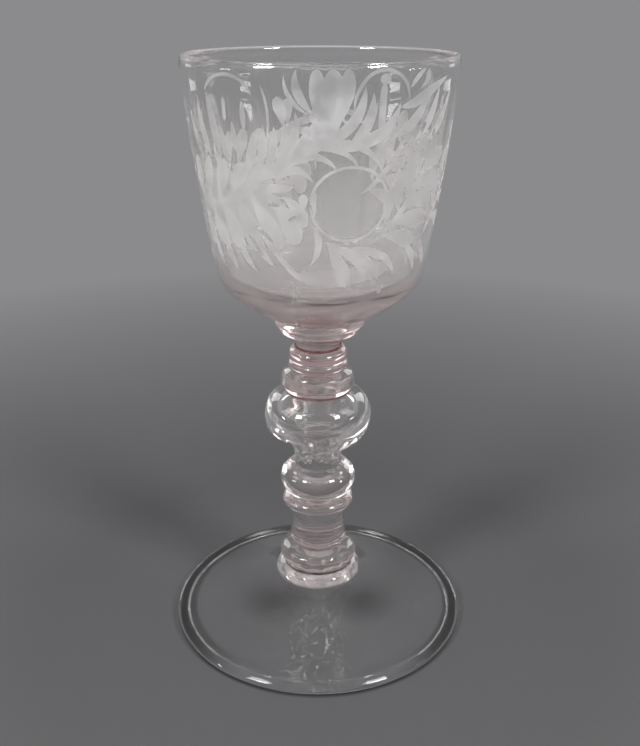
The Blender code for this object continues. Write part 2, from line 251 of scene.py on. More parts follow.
RIGHT_LEAVES = (
    ("leaf", 2.6, (29, 143.5), (39, 142.5), (49, 139.5)),
    ("leaf", 2.8, (34, 147), (44, 147.5), (54, 145)),
    ("leaf", 2.8, (39, 151), (49, 152.5), (59, 151)),
    ("leaf", 2.8, (44, 155.5), (53, 158), (62.5, 157.5)),
    ("leaf", 2.6, (48, 160), (57, 163.5), (65, 164.5)),
    ("leaf", 2, (31, 146.5), (30.5, 152), (32.5, 157)),
    ("leaf", 2.4, (36.5, 150), (35, 156.5), (36, 162.5)),
    ("leaf", 2.4, (42, 154), (40, 160.5), (41, 166.5)),
    ("leaf", 2.2, (47, 159.5), (46, 165), (48.5, 170.5)),
    ("blade", 1, (24, 141.8), (36, 148.4), (45, 156.4), (54, 168)),
    ("leaf", 2.2, (62, 146), (71, 145), (79, 141.5)),
    ("leaf", 2.4, (67, 150), (76, 150.5), (84, 148)),
    ("leaf", 2.4, (72, 155), (80, 157), (87, 156)),
    ("leaf", 2.2, (64, 148), (62.5, 154), (63, 160)),
    ("leaf", 2.2, (69, 153), (68, 160), (69.5, 166)),
    ("leaf", 2.2, (75, 159), (75, 166), (77, 172)),
    ("blade", 1, (57, 141), (67, 149.6), (75, 158), (82, 168)),
)
LEFT_LEAVES = (
    ("petal", 2.2, (-16, 155.5), (-10.5, 152.5), (-7.4, 146.6)),
    ("petal", 3, (-22, 155), (-15, 150), (-11, 141.6)),
    ("petal", 3.2, (-30, 154.5), (-24, 148), (-19.4, 139.4)),
    ("petal", 3.2, (-39, 153.5), (-33, 147), (-29, 139)),
    ("petal", 3.2, (-48, 152), (-43, 146), (-39.4, 138.6)),
    ("petal", 3, (-56, 151), (-53, 145), (-50, 138.6)),
    ("petal", 2.2, (-24, 155.5), (-17, 158.4), (-10.4, 158.6)),
    ("petal", 2.4, (-32, 155), (-26, 160), (-20, 161.6)),
    ("petal", 2.4, (-41, 154), (-36, 160), (-31, 163.6)),
    ("petal", 2.4, (-50, 152.5), (-46, 159), (-42.4, 164.4)),
    ("petal", 2.2, (-58, 151), (-56, 158), (-53.4, 164.4)),
    ("blade", 0.9, (-66, 148), (-44, 153), (-28, 155.2), (-12, 154.6)),
    ("petal", 2.6, (-64, 150), (-66, 157), (-65, 163.6)),
    ("petal", 2.6, (-64, 149), (-63, 143), (-61, 137.6)),
    ("petal", 1.3, (-7, 151.6), (-7, 156.4)),
    ("petal", 0.75, (-2.5, 149.4), (-2.6, 157.4)),
)
LOWER_SPRIGS = (
    ("blade", 1, (-3.2, 147.6), (-0.6, 142.6), (-1.6, 139), (-4.6, 135.9)),
    ("blade", 0.95, (-25, 142.6), (-17, 136.5), (-10, 132.3), (2.4, 132.7)),
    ("petal", 2.5, (3.2, 142.4), (8, 137), (12.4, 129)),
    ("blade", 1.1, (2.6, 142.8), (12, 139), (19, 135), (22.4, 130.6)),
    ("blade", 1.3, (8, 141.2), (19, 138), (27, 133.4), (29.6, 129.8)),
    ("blade", 1.2, (14, 140.8), (26, 138.7), (33, 136.4), (38.6, 130.8)),
    ("dot", 0.95, (31.4, 125.6), (31.6, 129.2)),
    ("line", 0.22, (-16.4, 131), (-13.5, 130.2), (-13, 127), (-13.6, 123.8)),
    ("blade", 1.1, (-30, 143), (-26.5, 138), (-21.5, 134.6)),
    ("blade", 1.2, (-40, 142), (-37, 136.6), (-32, 133)),
    ("blade", 1.2, (-50, 142), (-48, 136), (-43, 131.8)),
    ("blade", 1.2, (-60, 142), (-58.6, 136), (-54, 131.6)),
    ("blade", 1.2, (44, 139.4), (50, 136), (54, 130.6)),
    ("blade", 1.2, (54, 140), (60, 136), (64, 131)),
)
CLEAR_GAPS = tuple(("clear", *gap) for gap in (
    (1.7, (27.6, 168.2), (33, 169.2), (38, 171.6)),
    (0.7, (30, 172.4), (32, 173.4)),
    (0.6, (30.2, 164.4), (31.8, 164.8)),
    (1, (39, 165.4), (42, 169)),
    (0.8, (34.4, 161.6), (38, 164)),
    (0.7, (44, 171), (46.4, 174)),
    (0.5, (46, 164.4), (48.2, 166.8)),
    (0.6, (52, 168), (53.6, 172)),
    (0.5, (33, 157.4), (34.4, 159.6)),
    (0.6, (-34, 164.6), (-34.6, 168.4)),
    (0.5, (-39, 160.8), (-39.6, 164)),
    (0.7, (-47, 163), (-48, 168)),
    (0.95, (-25, 158.6), (-14, 159.6), (-4.5, 157.4)),
    (0.7, (-22.5, 153), (-17, 153)),
    (0.6, (-30, 146.5), (-25.5, 144.4), (-21.5, 142)),
    (0.6, (-34.5, 143.5), (-30, 140.5), (-27.5, 137.5)),
    (0.6, (-14, 148.6), (-9.6, 150)),
    (0.5, (-27, 143.6), (-24.6, 140)),
    (0.5, (-37, 143), (-35, 139.4)),
))
LEAVES = SWEEPING_BLADES + RIGHT_LEAVES + LEFT_LEAVES + LOWER_SPRIGS
FRONT_STROKES = MISTS + LEAVES + RIGHT_BLADES + LEFT_BLADES + LEFT_ARCH + PLUME + CLEAR_GAPS
BACK_STROKES = SWEEPING_BLADES + RIGHT_LEAVES + LEFT_LEAVES

# Oval ring beside the plume, and the palmettes on the two sides
RING_CENTRE = (12.8, 153.2)
RING_HALF_WIDTH_DEGREES = 16.8
RING_HALF_HEIGHT = 10.2
RING_LINE = 0.42
RING_POINTS = 9
PALMETTE_ROOTS = (140, 154, 168)
PALMETTE_SPREAD = (-70, 70, -38, 38, 0)
PALMETTE_REACH = 13.5
PALMETTE_LEAF = 1.9
PALMETTE_SIDES = (90, -90)
PALMETTE_SHORTENING = 220
PALMETTE_BEND = (0.62, 0.42)
PALMETTE_RISE = 2

# Glass: each piece's strength of tint per metre and milkiness, then the tint and the colours of the skin
GLASSES = {
    "bowl": (4, 0),
    "bowl_collar": (10, 0.09),
    "neck_ring": (25, 0.07),
    "shoulder_collar": (8, 0.05),
    "hollow_knop": (0.15, 0.02),
    "ball_knop": (0.15, 0.02),
    "ball_merese": (8, 0.06),
    "lower_neck": (0.15, 0.03),
    "neck_collar": (6, 0.06),
    "base_knop": (6, 0.06),
    "foot_merese": (8, 0.18),
    "foot": (0.15, 0),
}
GLASS_IOR = 1.5
SHADOW_PASS = 0.5
TINT = (0.9, 0.5, 0.51, 1)
PINK_SKIN = (0.97, 0.905, 0.895, 1)
CLEAR_SKIN = (0.98, 0.97, 0.96, 1)
TOP_SKIN = (0.905, 0.905, 0.905, 1)
FOOT_SKIN = (0.93, 0.93, 0.93, 1)
# The fold's grey is painted shade
FOLD_PAINTED_SHADE = (0.6, 0.6, 0.6, 1)

# Patterns: scale and detail of a noise, the range read from it and the range that this becomes
SMEARS = (75, 4, 0.5, 0.78, 0, 0.05)
SPECKS = (520, 2, 0.8, 0.84, 0, 0.1)
MILK = (260, 3, 0.3, 0.7, 0.3, 1.7)
SCRATCHES = (1, 1, 0.7, 0.76, 0, 0.1)
WEAR = (560, 3, 0.6, 0.7, 0, 0.15)
CLOUDS = (190, 3, 0.36, 0.64, 0.5, 1.6)
SEAM_BREAKS = (420, 3, 0.3, 0.65, 0.35, 1)
WAVES = (110, 1)
STREAKS = (1, 3)
GRAIN = (900, 2)
STEM_WAVE = 0.035 * MM
BOWL_WAVE = 0.001 * MM
GRAIN_HEIGHT = 0.008 * MM

# Foot: painted shade on the fold behind and at the sides, scratches round it, and a worn patch in front
FOLD_REACH = (43.8 * MM, 45 * MM)
FOLD_DEPTH = (-38 * MM, -28 * MM)
FOLD_ROUGHNESS = 0.1
SCRATCHES_ROUND = 1.6
SCRATCHES_OUT = 2200
WORN_MIDDLE = -1.5 * MM
WORN_WIDTH = (5 * MM, 16 * MM)
WORN_DEPTH = (-22 * MM, -14 * MM)

# Bowl: frost of the cuts, pink base, clear top, painted highlight on the back of the lip, haze, and a
# painted dark refraction line low on its front
STREAK_STRETCH = (0.5, 5, 0)
STREAK_PART = 0.6
GRAIN_PART = 0.5
MOTTLE_SPAN = (0.3, 0.8)
MOTTLE_SHARE = (0.75, 1.2)
FROST_ROUGHNESS = 0.6
MATT_FROST = 0.4
FROST_WHITE = 0.32
PINK_BASE = (113 * MM, 127 * MM)
CLEAR_TOP = (170 * MM, 182 * MM)
LIP_HIGHLIGHT_HEIGHTS = (189.2 * MM, 189.6 * MM)
LIP_HIGHLIGHT_DEPTH = (0, 15 * MM)
LIP_PAINTED_HIGHLIGHT = 0.3
HAZE_TOP = (138 * MM, 168 * MM)
HAZE = 0.11
HAZE_ABOVE = 0.0165
# A painted dark refraction of the inner floor's edge, shown on the front only
LOW_LINE = 124 * MM
LOW_LINE_WIDTH = (0.2 * MM, 0.6 * MM)
LOW_LINE_DEPTH = (-24 * MM, -12 * MM)
LOW_LINE_SWING = 2.2 * MM
LOW_LINE_BREAKS = (0.4, 0.55)
LOW_LINE_LEAST = 0.1
LOW_LINE_PAINTED_DARK = (0.3, 0.27, 0.26, 1)

# Stage: floor, the painted contact shadow ring and painted shade patches on it, backdrop, and lamps, each
# with its azimuth, elevation, distance, width, height and power
FLOOR_DROP = 0.3 * MM
FLOOR_RADIUS = 6
FLOOR_SIDES = 96
FLOOR_NEAR = (0.128, 0.128, 0.132, 1)
FLOOR_FADE = (0.1, 0.45)
# Painted contact shadow and painted shade, drawn in the floor's colour
CONTACT_SHADOW_TONE = (0.045, 0.045, 0.046, 1)
CONTACT_REACH = 48.8 * MM
CONTACT_WIDTH = (0.7 * MM, 2.1 * MM)
CONTACT_DEPTH = (0, 40 * MM)
CONTACT_LOSS = 0.7
SHADE_TONE = (0.068, 0.068, 0.07, 1)
SHADE_PLACE = (15.5 * MM, 1 * MM, 0)
SHADE_WIDTH = (2 * MM, 14 * MM)
BACKDROP = (0.258, 0.258, 0.265, 1)
ROOM_FRONT = (0.1, 0.1, 0.103, 1)
ROOM_TURN = (-0.75, 0.05)
SOFTBOXES = (
    (-47, 34, 0.95, 0.22, 0.22, 5.6),
    (48, 34, 0.95, 0.22, 0.22, 5.6),
    (-77, 9.2, 0.95, 0.2, 0.022, 0.72),
    (77, 9.2, 0.95, 0.2, 0.022, 0.72),
)
EDGE_PANELS = (
    (142, 18, 0.6, 0.24, 0.26, 0.65),
    (82, 30, 0.6, 0.2, 0.2, 0.42),
)
BOWL_PANELS = ((126, 9.5, 0.6, 0.12, 0.08, 0.06),)
PANEL_SIDES = {"left": -1, "right": 1}
UNEDGED = ("bowl", "foot")
LIGHT_BOUNCES = 32


def curve_through(points, spacing):
    """Points about a spacing apart on a smooth curve that passes through the given points."""
    points = np.asarray(points, float)
    steps = np.diff(points, axis=0)
    chords = np.linalg.norm(steps, axis=1)
    slopes = steps / chords[:, None]
    tangents = np.vstack([slopes[:1], slopes])
    if len(points) > 2:
        before = chords[:-1, None]
        after = chords[1:, None]
        tangents[1:-1] = (slopes[:-1] * after + slopes[1:] * before) / (before + after)
        tangents[0] = 2.0 * slopes[0] - tangents[1]
        tangents[-1] = 2.0 * slopes[-1] - tangents[-2]
    stretches = []
    for index, chord in enumerate(chords):
        count = max(1, math.ceil(chord / spacing))
        share = (np.arange(count) / count)[:, None]
        start = points[index] * (1.0 + 2.0 * share) * (1.0 - share) ** 2
        end = points[index + 1] * (3.0 - 2.0 * share) * share ** 2
        leaving = tangents[index] * chord * share * (1.0 - share) ** 2
        arriving = tangents[index + 1] * chord * (share - 1.0) * share ** 2
        stretches.append(start + end + leaving + arriving)
    stretches.append(points[-1:])
    return np.vstack(stretches)


def section(node):
    """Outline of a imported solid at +X, from its upper end to its lower, both on the axis."""
    mesh = frame["nodes"][node].data
    keys = {}
    for vertex in mesh.vertices:
        if abs(vertex.co.y) < NEAR and vertex.co.x > -NEAR:
            keys[vertex.index] = (round(max(vertex.co.x, 0.0), 6), round(vertex.co.z, 6))
    links = {}
    for edge in mesh.edges:
        first, second = (keys.get(index) for index in edge.vertices)
        if first is None or second is None or first == second:
            continue
        links.setdefault(first, set()).add(second)
        links.setdefault(second, set()).add(first)
    ends = [key for key in links if len(links[key]) == 1]
    path = [max(ends, key=lambda key: key[1])]
    while len(path) < len(links):
        onward = [key for key in links[path[-1]] if key not in path[-2:]]
        path.append(onward[0])
    if path[0][0] > NEAR:
        path.insert(0, (0.0, path[0][1]))
    if path[-1][0] > NEAR:
        path.append((0.0, path[-1][1]))
    return np.array(path)


def bend(before, here, after):
    """Angle by which a path turns at a point."""
    arriving = here - before
    leaving = after - here
    cross = arriving[0] * leaving[1] - arriving[1] * leaving[0]
    return abs(math.atan2(cross, float(arriving @ leaving)))


def softened(dense):
    """A stretch of outline with its corners melted round, its two ends held in place."""
    reach = int(SOFTENING_SPAN * SOFTENING / DENSE_SPACING)
    offsets = np.arange(-reach, reach + 1)
    weights = np.exp(-0.5 * (offsets * DENSE_SPACING / SOFTENING) ** 2)
    weights /= weights.sum()
    if len(dense) < 2 * reach:
        return dense
    mirror = np.array([-1.0, 1.0])
    head = dense[reach:0:-1]
    tail = dense[-2:-reach - 2:-1]
    head = head * mirror if dense[0, 0] < NEAR else 2.0 * dense[0] - head
    tail = tail * mirror if dense[-1, 0] < NEAR else 2.0 * dense[-1] - tail
    padded = np.vstack([head, dense, tail])
    columns = [np.convolve(padded[:, axis], weights, mode="valid") for axis in (0, 1)]
    return np.column_stack(columns)


def thinned(dense, longest):
    """The points of a dense outline that its length and its bends need."""
    kept = [dense[0]]
    length = 0.0
    turn = 0.0
    for index in range(1, len(dense) - 1):
        length += np.hypot(*(dense[index] - dense[index - 1]))
        turn += bend(*dense[index - 1:index + 2])
        if length > longest or turn > LARGEST_TURN:
            kept.append(dense[index])
            length = 0.0
            turn = 0.0
    kept.append(dense[-1])
    return kept


def melted(points, levels, longest=LONGEST_STEP):
    """Fine outline through the given points, softened at corners, with its joint faces drawn out."""
    points = np.asarray(points, float)
    held = {0, len(points) - 1}
    for index, height in enumerate(points[:, 1]):
        if any(abs(height - level) < NEAR for level in levels):
            held.add(index)
    corners = set(held)
    for index in range(1, len(points) - 1):
        if bend(*points[index - 1:index + 2]) > CORNER_TURN:
            corners.add(index)
    order = sorted(corners)
    outline = []
    stretch = []
    for start, end in zip(order, order[1:]):
        run = curve_through(points[start:end + 1], DENSE_SPACING)
        stretch.append(run if not stretch else run[1:])
        if end in held:
            fine = thinned(softened(np.vstack(stretch)), longest)
            outline += fine if not outline else fine[1:]
            stretch = []
    return drawn_out(outline, levels)


def lathe(outline, steps):
    """Vertices and faces of an outline turned about Z."""
    angles = 2.0 * math.pi * np.arange(steps) / steps
    around = np.column_stack([np.cos(angles), np.sin(angles)])
    vertices = []
    faces = []
    rows = []
    for radius, height in outline:
        start = len(vertices)
        if radius < NEAR:
            vertices.append((0.0, 0.0, height))
            rows.append([start] * (steps + 1))
            continue
        vertices += [(radius * x, radius * y, height) for x, y in around]
        rows.append(list(range(start, start + steps)) + [start])
    for upper, lower in zip(rows, rows[1:]):
        for step in range(steps):
            corners = (upper[step], lower[step], lower[step + 1], upper[step + 1])
            faces.append(tuple(dict.fromkeys(corners)))
    return vertices, faces


def joint_levels():
    """For each node, its packed end heights that are joints and the heights they are drawn out to."""
    order = sorted(frame["nodes"], key=lambda node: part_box(node)[0].z)
    levels = {node: {} for node in order}
    for lower, upper in zip(order, order[1:]):
        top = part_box(lower)[1].z
        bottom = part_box(upper)[0].z
        middle = 0.5 * (top + bottom)
        levels[lower][top] = middle - 0.5 * JOINT_HAIR
        levels[upper][bottom] = middle + 0.5 * JOINT_HAIR
    return levels


def drawn_out(outline, levels):
    """The outline with its joint faces moved to meet the neighbours."""
    moved = np.array(outline)
    for packed, met in levels.items():
        moved[np.abs(moved[:, 1] - packed) < NEAR, 1] = met
    return moved


def smooth_step(value, low, high):
    """Zero below the low end, one above the high end and smooth between them."""
    share = np.clip((value - low) / (high - low), 0.0, 1.0)
    return share * share * (3.0 - 2.0 * share)


def hand_worked(vertices, lumps=0.0, ribs=False):
    """Vertices made uneven as by hand: a stem off its axis, a wavy skin, lumps, and ribs with a pinch."""
    moved = np.array(vertices)
    for vertex in moved:
        point = Vector(vertex)
        reach = math.hypot(point.x, point.y)
        if reach < NEAR:
            continue
        swell = UNEVEN_DEPTH * noise.noise(point * UNEVEN_WAVES) + lumps * noise.noise(point * LUMPY_WAVES)
        if ribs:
            around = Vector((point.x / reach, point.y / reach, RIB_RISE * point.z)) * RIB_WAVES
            swell += RIB_DEPTH * noise.noise(around) * (1.0 - smooth_step(point.z, *RIB_FADE))
            pinch = smooth_step(-point.x / reach, *PINCH_TURN) * (1.0 - smooth_step(point.z, *PINCH_HEIGHTS))
            swell -= pinch * max(reach - PINCH_REACH, 0.0)
        vertex[:2] *= 1.0 + swell / reach
    moved[:, 0] += STEM_OFFSET * (1.0 - smooth_step(moved[:, 2], *STEM_TOP))
    return moved


def with_seeds(node, vertices, faces):
    """The piece's surface together with the skins of the air seeds inside it."""
    vertices = [tuple(vertex) for vertex in vertices]
    faces = list(faces)
    for name, radius, degrees, reach, height in SEEDS:
        if name != node:
            continue
        bm = bmesh.new()
        bmesh.ops.create_icosphere(bm, subdivisions=2, radius=radius * MM)
        angle = math.radians(degrees)
        centre = Vector((reach * math.sin(angle), -reach * math.cos(angle), height)) * MM
        start = len(vertices)
        for vertex in bm.verts:
            drawn = Vector((vertex.co.x * SEED_STRETCH, vertex.co.y, vertex.co.z))
            vertices.append(tuple(centre + drawn))
        faces += [tuple(start + vertex.index for vertex in reversed(face.verts)) for face in bm.faces]
        bm.free()
    return vertices, faces


def mark_joints(mesh, levels):
    """Mark the faces that meet a neighbour."""
    heights = np.array([vertex.co.z for vertex in mesh.vertices])
    joint = np.zeros(len(mesh.polygons), np.float32)
    for polygon in mesh.polygons:
        ends = heights[list(polygon.vertices)]
        if any(np.all(np.abs(ends - level) < NEAR) for level in levels.values()):
            joint[polygon.index] = 1.0
    mesh.attributes.new("joint", "FLOAT", "FACE").data.foreach_set("value", joint)


def finished(node, vertices, faces, levels):
    """A smooth mesh with its joint faces marked."""
    mesh = bpy.data.meshes.new("glass_" + node)
    mesh.from_pydata(vertices, [], faces)
    mark_joints(mesh, levels)
    mesh.shade_smooth()
    mesh.set_sharp_from_angle(angle=SHARP_EDGE)
    return mesh


def show(mesh, material, node=None):
    """A piece of the scene that rides on the goblet and, where a node is given, stands for its solid."""
    mesh.materials.append(material)
    piece = bpy.data.objects.new(mesh.name, mesh)
    bpy.context.scene.collection.objects.link(piece)
    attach(piece, "root")
    if node:
        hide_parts(node)


def turned_mesh(node, levels):
    """A plain turned piece of the stem, or the foot."""
    lumps = LUMPY_DEPTHS.get(node, 0.0)
    steps = WIDE_STEPS if lumps or node == "foot" else STEM_STEPS
    outline = melted(section(node), levels)
    vertices, faces = lathe(outline, steps)
    vertices, faces = with_seeds(node, hand_worked(vertices, lumps), faces)
    return finished(node, vertices, faces, levels)


def knop_mesh(node, levels):
    """The blown knop: its outer skin and, inside, the sealed bubble."""
    outline = section(node)
    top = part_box(node)[1].z
    mouth = int(np.argmax(np.abs(outline[:, 1] - top) < NEAR))
    skin = np.vstack([[(0.0, top)], outline[mouth + 1:]])
    skin = melted(skin, levels, PINCH_STEP)
    brim = outline[mouth - 1]
    angles = 0.5 * math.pi * np.arange(1, DOME_STEPS + 1) / DOME_STEPS
    dome = np.column_stack([brim[0] * np.cos(angles), brim[1] + BUBBLE_DOME * np.sin(angles)])
    dome[-1, 0] = 0.0
    bubble = melted(np.vstack([outline[:mouth], dome]), {})
    crown = bubble[:, 1].max()
    bubble[:, 0] *= BUBBLE_REACH
    bubble[:, 1] = crown + BUBBLE_HEIGHT * (bubble[:, 1] - crown)
    vertices, faces = lathe(skin, WIDE_STEPS)
    inner_vertices, inner_faces = lathe(bubble, WIDE_STEPS)
    start = len(vertices)
    faces += [tuple(start + corner for corner in face) for face in inner_faces]
    vertices = hand_worked(vertices + inner_vertices, ribs=True)
    return finished(node, vertices, faces, levels)


def seam_mesh(node, half, levels):
    """Uneven thin ring in the groove under a piece, carrying its painted shade."""
    level = min(levels.values())
    outline = drawn_out(section(node), levels)
    reach = outline[np.abs(outline[:, 1] - level) < NEAR, 0].max() + SEAM_OUT * half
    vertices = []
    faces = []
    for step in range(STEM_STEPS):
        angle = 2.0 * math.pi * step / STEM_STEPS
        around = Vector((math.cos(angle), math.sin(angle), level))
        thick = half * (1.0 + SEAM_UNEVEN * noise.noise(around * RIB_WAVES))
        for side in range(SEAM_SIDES):
            turn = 2.0 * math.pi * side / SEAM_SIDES
            radius = reach + thick * math.cos(turn)
            height = level + thick * math.sin(turn)
            vertices.append((radius * around.x, radius * around.y, height))
            beside = (side + 1) % SEAM_SIDES
            row = SEAM_SIDES * step
            next_row = (row + SEAM_SIDES) % (SEAM_SIDES * STEM_STEPS)
            faces.append((row + side, next_row + side, next_row + beside, row + beside))
    mesh = bpy.data.meshes.new("shaded_seam_under_" + node)
    mesh.from_pydata(hand_worked(vertices), [], faces)
    mesh.shade_smooth()
    return mesh


def unrolled(degrees, height):
    """Millimetres along the unrolled wall and up it."""
    return math.radians(degrees) * UNROLL_RADIUS, height


def half_widths(shape, widest, shares):
    """Half width of a stroke along its spine."""
    if shape in ("blade", "faint"):
        return widest * np.sin(math.pi * shares ** BLADE_LEAN) ** BLADE_FULLNESS
    if shape in ("petal", "leaf"):
        base = np.clip(shares / PETAL_WIDEST, 0.0, 1.0) ** PETAL_FULLNESS
        past = np.clip(shares - PETAL_WIDEST, 0.0, 1.0) / (1.0 - PETAL_WIDEST)
        return widest * base * np.sqrt(np.clip(1.0 - past ** 2, 0.0, 1.0))
    if shape == "line":
        return widest * np.sqrt(np.clip(LINE_TAPER * np.minimum(shares, 1.0 - shares), 0.0, 1.0))
    return widest * np.sqrt(np.clip(1.0 - (2.0 * shares - 1.0) ** 2, 0.0, 1.0))


class Stroke:
    """One cut of the wheel on the unrolled wall: its spine, its half widths and its outline."""

    def __init__(self, shape, widest, *points):
        route = [unrolled(degrees, height) for degrees, height in points]
        self.shape = shape
        self.spine = curve_through(route, SPINE_SPACING)
        lengths = np.linalg.norm(np.diff(self.spine, axis=0), axis=1)
        self.along = np.concatenate([[0.0], np.cumsum(lengths)])
        self.shares = self.along / self.along[-1]
        self.half = half_widths(shape, widest, self.shares)
        ahead = np.gradient(self.spine, axis=0)
        ahead /= np.linalg.norm(ahead, axis=1)[:, None]
        self.side = np.column_stack([-ahead[:, 1], ahead[:, 0]])
        self.depth = CUT_DEPTH * math.sqrt(widest / USUAL_HALF)
        if shape in MIST_SHAPES or shape == "clear":
            self.depth = 0.0
        left = self.spine + self.side * self.half[:, None]
        right = self.spine - self.side * self.half[:, None]
        self.outline = np.vstack([self.spine[:1], right[1:-1], self.spine[-1:], left[-2:0:-1]])

    def shifted(self, distance):
        """The same cut further along the unrolled wall."""
        twin = copy.copy(self)
        twin.spine = self.spine + (distance, 0.0)
        twin.outline = self.outline + (distance, 0.0)
        return twin

    def cut_at(self, points):
        """Depth of the cut, its tone, and the place along and across it, at points inside it."""
        apart = points[:, None, :] - self.spine[None, :, :]
        nearest = np.argmin((apart ** 2).sum(axis=2), axis=1)
        across = (apart[np.arange(len(points)), nearest] * self.side[nearest]).sum(axis=1)
        half = np.maximum(self.half[nearest], LEAST_HALF)
        share = np.clip(across / half, -1.0, 1.0)
        depth = self.depth * np.clip(half / FULL_CUT, 0.0, 1.0) * (1.0 - np.abs(share) ** CUT_POWER)
        run = self.shares[nearest]
        tone = np.full(len(points), TONES[self.shape])
        if self.shape in MIST_SHAPES:
            tone *= (1.0 - share ** 2) * np.clip(MIST_TAPER * np.minimum(run, 1.0 - run), 0.0, 1.0)
        elif self.shape in LEAF_SHAPES:
            tone *= SPINE_TONE + (1.0 - SPINE_TONE) * share ** 2
            tone *= np.clip(TIP_TONE + TIP_FADE * (1.0 - run), 0.0, 1.0)
        return depth, tone, self.along[nearest], share


def ring_strokes():
    """The oval ring as two half lines."""
    strokes = []
    for turn in (0.0, math.pi):
        points = []
        for index in range(RING_POINTS):
            angle = turn + math.pi * index / (RING_POINTS - 1)
            degrees = RING_CENTRE[0] + RING_HALF_WIDTH_DEGREES * math.cos(angle)
            points.append((degrees, RING_CENTRE[1] + RING_HALF_HEIGHT * math.sin(angle)))
        strokes.append(("line", RING_LINE, *points))
    return strokes


def palmette_strokes(degrees):
    """Leaves that fan upwards, one fan above the other, on a side of the bowl."""
    strokes = []
    for root in PALMETTE_ROOTS:
        for lean in PALMETTE_SPREAD:
            reach = PALMETTE_REACH * (1.0 - abs(lean) / PALMETTE_SHORTENING)
            side = math.degrees(math.sin(math.radians(lean)) * reach / UNROLL_RADIUS)
            rise = math.cos(math.radians(lean)) * reach
            middle = (degrees + PALMETTE_BEND[0] * side, root + PALMETTE_BEND[1] * rise)
            tip = (degrees + side, root + rise + PALMETTE_RISE)
            strokes.append(("blade", PALMETTE_LEAF, (degrees, root), middle, tip))
    return strokes


def all_strokes(start, turn):
    """Every cut on the bowl: the front, part of it mirrored on the back, and the two sides, in one turn."""
    specs = list(FRONT_STROKES) + ring_strokes()
    for shape, half, *points in BACK_STROKES:
        specs.append((shape, half, *[(180.0 - degrees, height) for degrees, height in points]))
    for degrees in PALMETTE_SIDES:
        specs += palmette_strokes(degrees)
    strokes = []
    for spec in specs:
        stroke = Stroke(*spec)
        for shift in (-turn, 0.0, turn):
            ends = stroke.outline[:, 0] + shift
            if ends.max() > start and ends.min() < start + turn:
                strokes.append(stroke.shifted(shift))
    return strokes


def wall_triangles(strokes, start, turn):
    """The unrolled wall in triangles along every stroke: points, faces and the strokes over each face."""
    bottom = BAND_BOTTOM / MM
    top = BAND_TOP / MM
    rows = round((BAND_TOP - BAND_BOTTOM) / BAND_ROW)
    levels = np.linspace(bottom, top, rows + 1)
    columns = start + turn * np.arange(WIDE_STEPS + 1) / WIDE_STEPS
    border = [(column, bottom) for column in columns]
    border += [(columns[-1], level) for level in levels[1:-1]]
    border += [(column, top) for column in columns[::-1]]
    border += [(columns[0], level) for level in levels[-2:0:-1]]
    edges = [(index, (index + 1) % len(border)) for index in range(len(border))]

    cuts = KDTree(sum(len(stroke.outline) for stroke in strokes))
    for stroke in strokes:
        for place in stroke.outline:
            cuts.insert((place[0], place[1], 0.0), 0)
    cuts.balance()
    points = list(border)
    for level in levels[1:-1]:
        for column in columns[1:-1]:
            if cuts.find((column, level, 0.0))[2] > LEAST_SPACING:
                points.append((column, level))
    outlines = []
    for stroke in strokes:
        first = len(points)
        points += [tuple(place) for place in stroke.outline]
        outlines.append(list(range(first, len(points))))
        points += [tuple(place) for place in stroke.spine[1:-1][stroke.half[1:-1] > SPINED_HALF]]
    made = delaunay_2d_cdt([Vector(point) for point in points], edges, outlines, 0, WELD, True)
    flat = np.array([tuple(point) for point in made[0]])
    faces = np.array(made[2])
    middles = flat[faces, 0].mean(axis=1)
    inside = (middles > start) & (middles < start + turn)
    sources = [source for source, kept in zip(made[5], inside) if kept]
    return flat, faces[inside], sources


def evened(depth, flat, faces):
    """Depths at the wall's points with close neighbours drawn together, so that no sliver stands on end."""
    ends = np.vstack([faces[:, [0, 1]], faces[:, [1, 2]], faces[:, [2, 0]]])
    lengths = np.linalg.norm(flat[ends[:, 0]] - flat[ends[:, 1]], axis=1)
    pull = EVEN_REACH / np.maximum(lengths, WELD)
    for _ in range(EVEN_ROUNDS):
        total = depth.copy()
        weight = np.ones(len(depth))
        for near, far in ((0, 1), (1, 0)):
            np.add.at(total, ends[:, near], pull * depth[ends[:, far]])
            np.add.at(weight, ends[:, near], pull)
        depth = total / weight
    return depth


